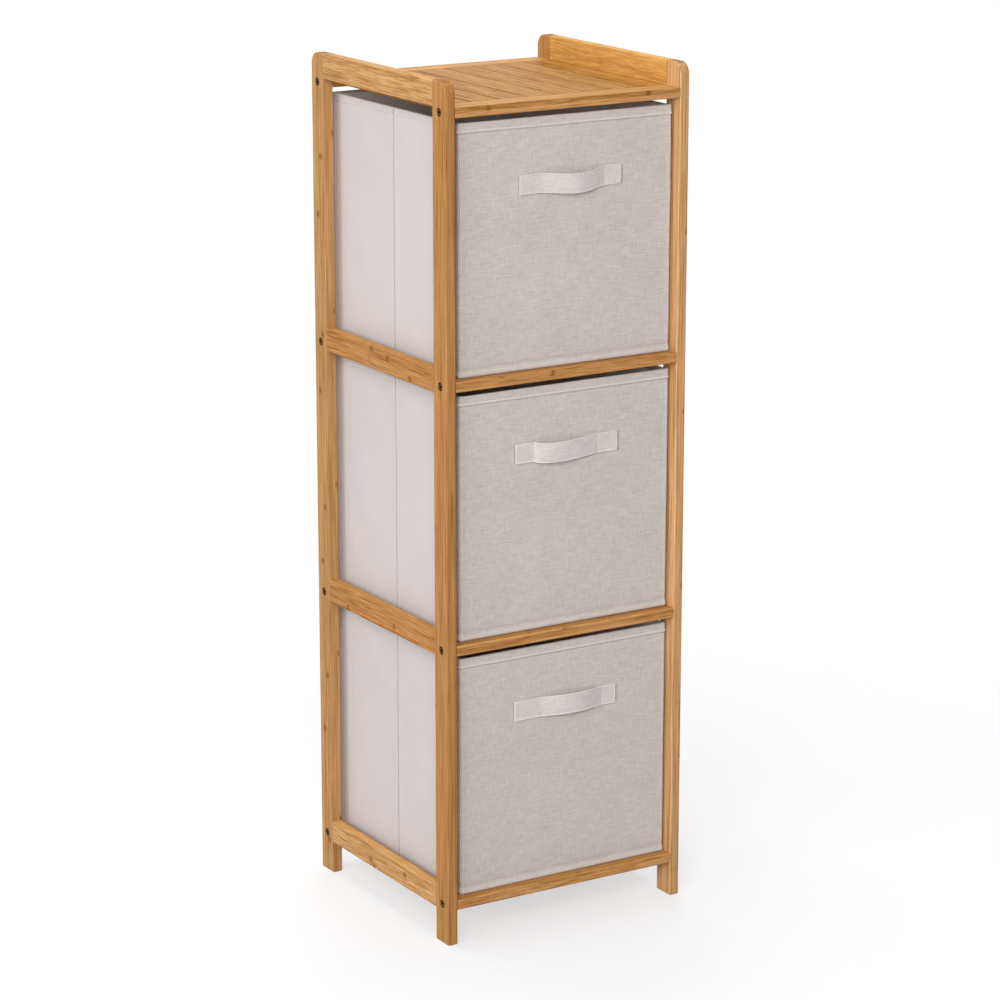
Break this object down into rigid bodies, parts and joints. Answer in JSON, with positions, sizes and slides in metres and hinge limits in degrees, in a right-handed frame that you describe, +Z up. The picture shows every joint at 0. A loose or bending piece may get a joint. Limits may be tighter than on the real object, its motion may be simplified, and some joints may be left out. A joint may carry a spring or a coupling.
{
  "type": "basket shelf",
  "caption": "Slim free-standing bamboo shelf with slatted tiers, a low gallery on top, and pull-out folding fabric baskets with webbing handles.",
  "frame": {"origin": "on the floor under the middle of the stand", "axes": "+Z up, -Y to the front where the baskets come out, +X to the right seen from the front"},
  "size_m": [0.32, 0.305, 1],
  "materials": {
    "bamboo": "satin lacquer",
    "dowel_wood": "plain",
    "linen": "woven",
    "cover_cloth": "non-woven",
    "lining": "non-woven",
    "webbing": "woven",
    "stiffener_board": "plain",
    "base_board": "cloth covered",
    "bolt_metal": "antiqued",
    "nut_steel": "zinc plated"
  },
  "bodies": {
    "stand": {"back_left_post": "bamboo", "back_right_post": "bamboo", "barrel_nuts": "nut_steel", "bottom_shelf_back_rail": "bamboo", "bottom_shelf_front_rail": "bamboo", "bottom_shelf_slats": "bamboo", "connector_bolts": "bolt_metal", "front_left_post": "bamboo", "front_right_post": "bamboo", "left_bottom_rail": "bamboo", "left_frame_dowels": "dowel_wood", "left_lower_rail": "bamboo", "left_top_rail": "bamboo", "left_upper_rail": "bamboo", "lower_shelf_back_rail": "bamboo", "lower_shelf_front_rail": "bamboo", "lower_shelf_slats": "bamboo", "right_bottom_rail": "bamboo", "right_frame_dowels": "dowel_wood", "right_lower_rail": "bamboo", "right_top_rail": "bamboo", "right_upper_rail": "bamboo", "top_shelf_back_rail": "bamboo", "top_shelf_front_rail": "bamboo", "top_shelf_slats": "bamboo", "upper_shelf_back_rail": "bamboo", "upper_shelf_front_rail": "bamboo", "upper_shelf_slats": "bamboo"},
    "bottom_basket": {"bottom_basket_back_cloth": "cover_cloth", "bottom_basket_floor_cloth": "cover_cloth", "bottom_basket_front_cloth": "linen", "bottom_basket_handle": "webbing", "bottom_basket_lining": "lining", "bottom_basket_rim_tape": "lining", "bottom_basket_side_cloths": "cover_cloth", "bottom_basket_stiffeners": "stiffener_board"},
    "bottom_base_board": {"bottom_basket_base_board": "base_board"},
    "middle_basket": {"middle_basket_back_cloth": "cover_cloth", "middle_basket_floor_cloth": "cover_cloth", "middle_basket_front_cloth": "linen", "middle_basket_handle": "webbing", "middle_basket_lining": "lining", "middle_basket_rim_tape": "lining", "middle_basket_side_cloths": "cover_cloth", "middle_basket_stiffeners": "stiffener_board"},
    "middle_base_board": {"middle_basket_base_board": "base_board"},
    "top_basket": {"top_basket_back_cloth": "cover_cloth", "top_basket_floor_cloth": "cover_cloth", "top_basket_front_cloth": "linen", "top_basket_handle": "webbing", "top_basket_lining": "lining", "top_basket_rim_tape": "lining", "top_basket_side_cloths": "cover_cloth", "top_basket_stiffeners": "stiffener_board"},
    "top_base_board": {"top_basket_base_board": "base_board"}
  },
  "joints": [
    {"name": "bottom_basket_slide", "type": "slide", "parent": "stand", "child": "bottom_basket", "axis": [0, -1, 0], "range_m": [0, 0.31]},
    {"name": "bottom_base_board_lift", "type": "slide", "parent": "bottom_basket", "child": "bottom_base_board", "axis": [0, 0, 1], "range_m": [0, 0.27]},
    {"name": "middle_basket_slide", "type": "slide", "parent": "stand", "child": "middle_basket", "axis": [0, -1, 0], "range_m": [0, 0.31]},
    {"name": "middle_base_board_lift", "type": "slide", "parent": "middle_basket", "child": "middle_base_board", "axis": [0, 0, 1], "range_m": [0, 0.27]},
    {"name": "top_basket_slide", "type": "slide", "parent": "stand", "child": "top_basket", "axis": [0, -1, 0], "range_m": [0, 0.31]},
    {"name": "top_base_board_lift", "type": "slide", "parent": "top_basket", "child": "top_base_board", "axis": [0, 0, 1], "range_m": [0, 0.27]}
  ]
}
